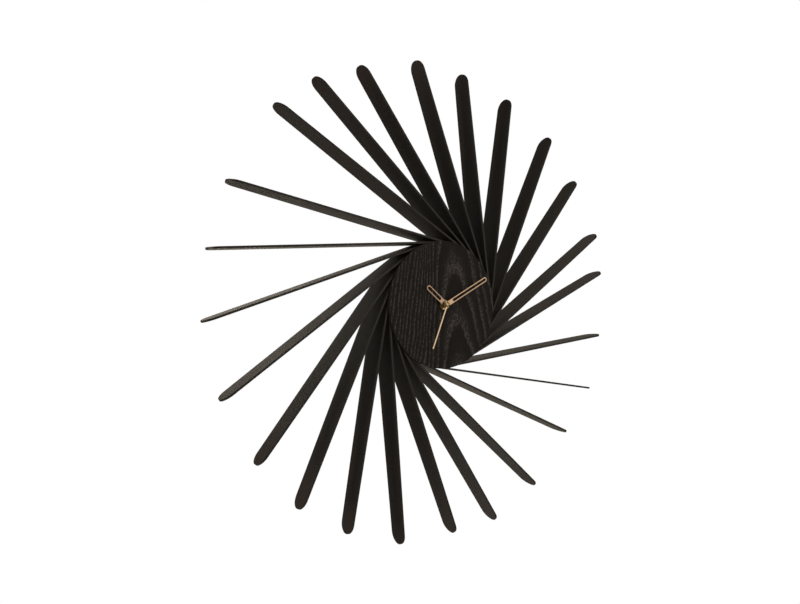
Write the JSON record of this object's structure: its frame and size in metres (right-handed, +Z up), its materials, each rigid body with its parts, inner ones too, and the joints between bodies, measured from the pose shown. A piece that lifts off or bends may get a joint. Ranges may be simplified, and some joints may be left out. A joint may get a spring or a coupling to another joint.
{
  "type": "sunburst wall clock",
  "caption": "Quartz wall clock: flat black strips on edge swirl outward from a hub behind a round black wooden dial with copper outline hands.",
  "frame": {"origin": "on the hands' axis, in the plane of the wall that the drum's rear rim rests against", "axes": "+Z up to the twelve o'clock side, dial faces -Y, +Y into the wall, +X right as seen from the front"},
  "size_m": [0.5947, 0.0505, 0.5961],
  "materials": {
    "ray_black": "matt black powder coat, slightly warm",
    "drum_black": "matt black powder coat",
    "steel_bright": "zinc-plated steel",
    "board_wood": "black-stained edge",
    "veneer_black": "black-stained open-grain veneer, matt",
    "rubber_black": "matt",
    "brass": "polished",
    "case_black": "moulded, fine spark texture",
    "plate_white": "moulded",
    "gear_white": "moulded acetal",
    "copper_wire": "enamelled copper wire",
    "magnet": "sintered",
    "pcb_green": "solder mask over glass fibre",
    "battery_label": "plain printed sleeve, no wording",
    "hand_copper": "satin copper-coloured plating",
    "hand_gold": "satin pale gold plating"
  },
  "bodies": {
    "case": {"ray_01": "ray_black", "ray_02": "ray_black", "ray_03": "ray_black", "ray_04": "ray_black", "ray_05": "ray_black", "ray_06": "ray_black", "ray_07": "ray_black", "ray_08": "ray_black", "ray_09": "ray_black", "ray_10": "ray_black", "ray_11": "ray_black", "ray_12": "ray_black", "ray_13": "ray_black", "ray_14": "ray_black", "ray_15": "ray_black", "ray_16": "ray_black", "ray_17": "ray_black", "ray_18": "ray_black", "ray_19": "ray_black", "ray_20": "ray_black", "ray_21": "ray_black", "ray_22": "ray_black", "ray_23": "ray_black", "ray_24": "ray_black", "drum": "drum_black", "ray_rivets": "steel_bright", "hanger_plate": "steel_bright", "frame_rivets": "steel_bright", "dial_brackets": "steel_bright", "dial_screws": "steel_bright", "dial_board": "board_wood", "dial_veneer": "veneer_black", "gasket": "rubber_black", "washer": "brass", "hex_nut": "brass", "movement_case": "case_black", "movement_back_cover": "case_black", "train_plate": "plate_white", "center_bushing": "brass", "stator": "steel_bright", "coil_bobbin": "plate_white", "coil_winding": "copper_wire", "circuit_board": "pcb_green", "quartz_crystal": "steel_bright", "battery_contacts": "steel_bright", "battery": "battery_label"},
    "second_hand_set": {"second_wheel": "gear_white", "second_hand": "hand_gold", "second_hand_cap": "brass"},
    "rotor": {"rotor_magnet": "magnet", "rotor_pinion": "gear_white"},
    "intermediate": {"intermediate_wheel": "gear_white"},
    "third": {"third_wheel": "gear_white"},
    "centre": {"center_wheel": "gear_white"},
    "minute_hand_set": {"cannon_pinion": "brass", "minute_hand": "hand_copper"},
    "motion_wheel": {"minute_wheel": "gear_white"},
    "hour_hand_set": {"hour_wheel": "gear_white", "hour_hand": "hand_copper"},
    "knob": {"setting_knob": "case_black"}
  },
  "joints": [
    {"name": "second_hand_turn", "type": "hinge", "parent": "case", "child": "second_hand_set", "pos_m": [0, -0.028, 0], "axis": [0, 1, 0], "continuous": true},
    {"name": "rotor_turn", "type": "hinge", "parent": "case", "child": "rotor", "pos_m": [-0.01238, -0.028, -0.00055], "axis": [0, 1, 0], "continuous": true},
    {"name": "intermediate_turn", "type": "hinge", "parent": "case", "child": "intermediate", "pos_m": [-0.00667, -0.028, -0.00385], "axis": [0, 1, 0], "continuous": true},
    {"name": "third_wheel_turn", "type": "hinge", "parent": "case", "child": "third", "pos_m": [0.00396, -0.03, 0.00686], "axis": [0, 1, 0], "continuous": true},
    {"name": "center_wheel_turn", "type": "hinge", "parent": "case", "child": "centre", "pos_m": [0, -0.032, 0], "axis": [0, 1, 0], "continuous": true},
    {"name": "minute_hand_turn", "type": "hinge", "parent": "case", "child": "minute_hand_set", "pos_m": [0, -0.034, 0], "axis": [0, 1, 0], "continuous": true},
    {"name": "minute_wheel_turn", "type": "hinge", "parent": "case", "child": "motion_wheel", "pos_m": [-0.0036, -0.034, 0.00624], "axis": [0, 1, 0], "continuous": true},
    {"name": "hour_hand_turn", "type": "hinge", "parent": "case", "child": "hour_hand_set", "pos_m": [0, -0.036, 0], "axis": [0, 1, 0], "continuous": true},
    {"name": "setting_knob_turn", "type": "hinge", "parent": "case", "child": "knob", "pos_m": [-0.0036, -0.03, 0.01464], "axis": [0, 1, 0], "continuous": true}
  ],
  "couplings": [
    {"joint": "intermediate_turn", "follows": "second_hand_turn", "ratio": -6},
    {"joint": "rotor_turn", "follows": "second_hand_turn", "ratio": 30},
    {"joint": "third_wheel_turn", "follows": "second_hand_turn", "ratio": -0.125},
    {"joint": "center_wheel_turn", "follows": "second_hand_turn", "ratio": 0.016667},
    {"joint": "minute_wheel_turn", "follows": "minute_hand_turn", "ratio": -0.33333},
    {"joint": "hour_hand_turn", "follows": "minute_hand_turn", "ratio": 0.083333},
    {"joint": "setting_knob_turn", "follows": "minute_hand_turn", "ratio": 0.6}
  ]
}
